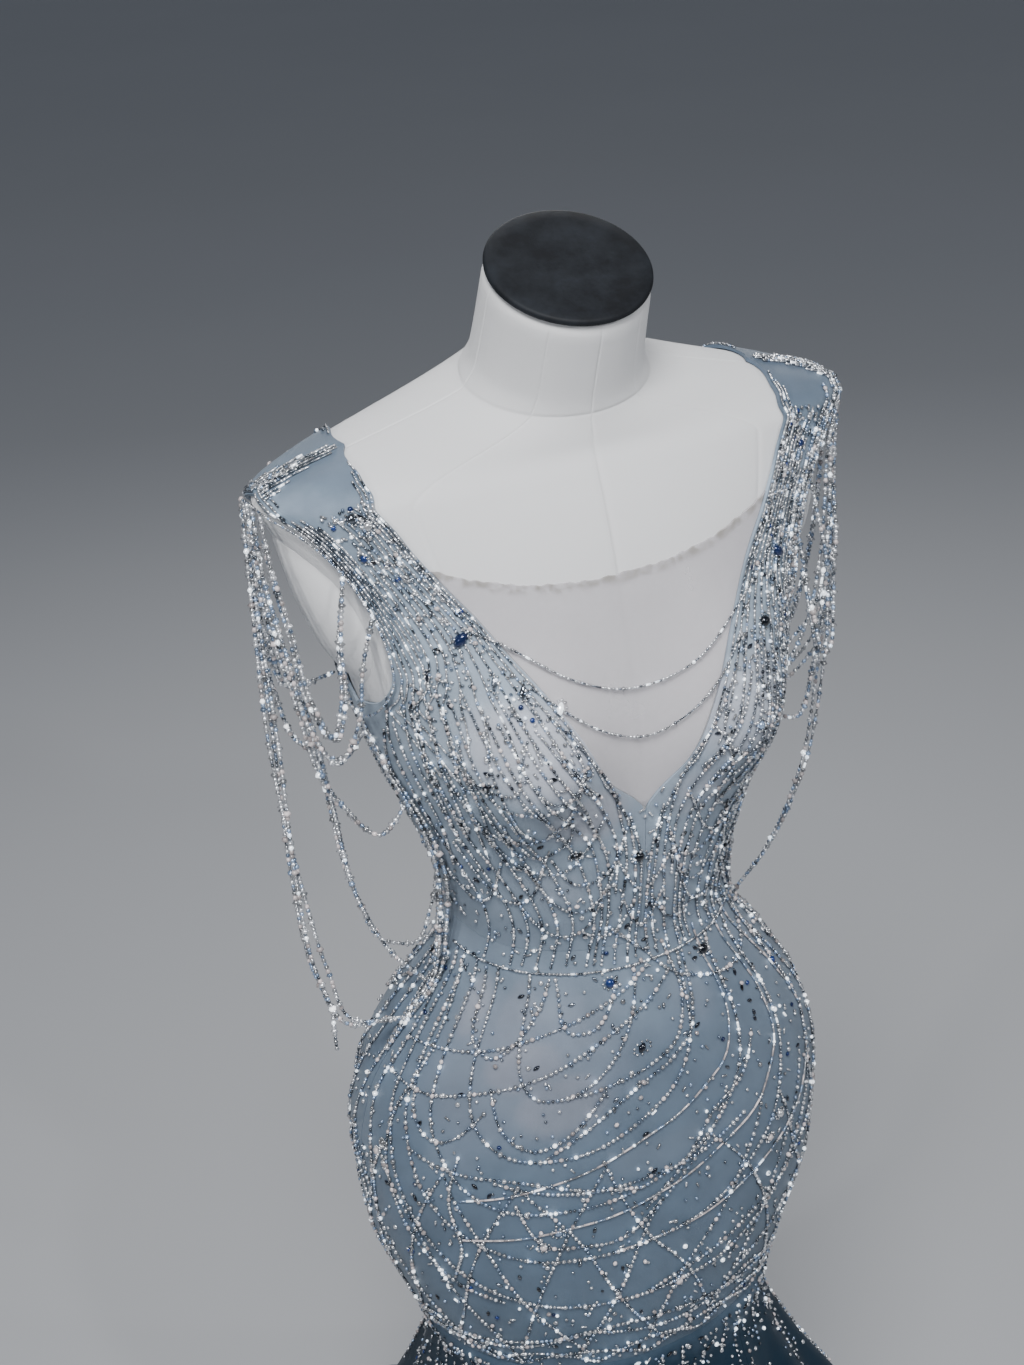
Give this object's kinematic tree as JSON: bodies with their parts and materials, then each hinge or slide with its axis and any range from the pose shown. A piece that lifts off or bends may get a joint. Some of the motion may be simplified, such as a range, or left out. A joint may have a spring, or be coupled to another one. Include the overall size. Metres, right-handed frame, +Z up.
{
  "type": "mermaid evening dress on a dress form",
  "caption": "Beaded sleeveless mermaid gown with a swept train, strands hanging from the shoulders, worn by a limbless dress form on a round stand.",
  "frame": {"origin": "middle of the underside of the round base, on the pole's axis, on the floor", "axes": "+Z up; the dress faces -Y; the wearer's left is +X and the train trails towards +Y"},
  "size_m": [0.9058, 1.01, 1.5349],
  "materials": {
    "form_canvas": "smooth off-white canvas over a padded form",
    "form_cap": "dark mottled slate paint, satin",
    "stand_steel": "brushed steel",
    "beaded_net": "pale blue-grey net over a nude lining, closely beaded",
    "fine_net": "sheer nude net",
    "flare_net": "deep teal-blue net, beads thinning to the hem",
    "beads": "silver-lined glass and pearl beads",
    "zip_metal": "polished zip metal"
  },
  "bodies": {
    "root": {"form_torso": "form_canvas", "form_neck_cap": "form_cap", "form_arm_plate_left": "form_canvas", "form_arm_plate_right": "form_canvas", "stand_base": "stand_steel", "stand_pole": "stand_steel", "stand_collar": "stand_steel", "bodice_front_left": "beaded_net", "bodice_front_right": "beaded_net", "bodice_back_left": "beaded_net", "bodice_back_right": "beaded_net", "neckline_net": "fine_net", "skirt_front": "beaded_net", "skirt_back_left": "beaded_net", "skirt_back_right": "beaded_net", "flare_front": "flare_net", "flare_side_left": "flare_net", "flare_side_right": "flare_net", "flare_back_left": "flare_net", "flare_back_right": "flare_net", "shoulder_swags_left": "beads", "shoulder_swags_right": "beads", "chest_chain_upper": "beads", "chest_chain_lower": "beads", "festoons_front": "beads", "festoons_back_left": "beads", "festoons_back_right": "beads", "zip_slider": "zip_metal"},
    "zip_tab": {"zip_pull": "zip_metal"}
  },
  "joints": [
    {"name": "zip_tab_hinge", "type": "hinge", "parent": "root", "child": "zip_tab", "pos_m": [0, 0.10812, 1.196], "axis": [1, 0, 0], "range_deg": [0, 150]}
  ]
}
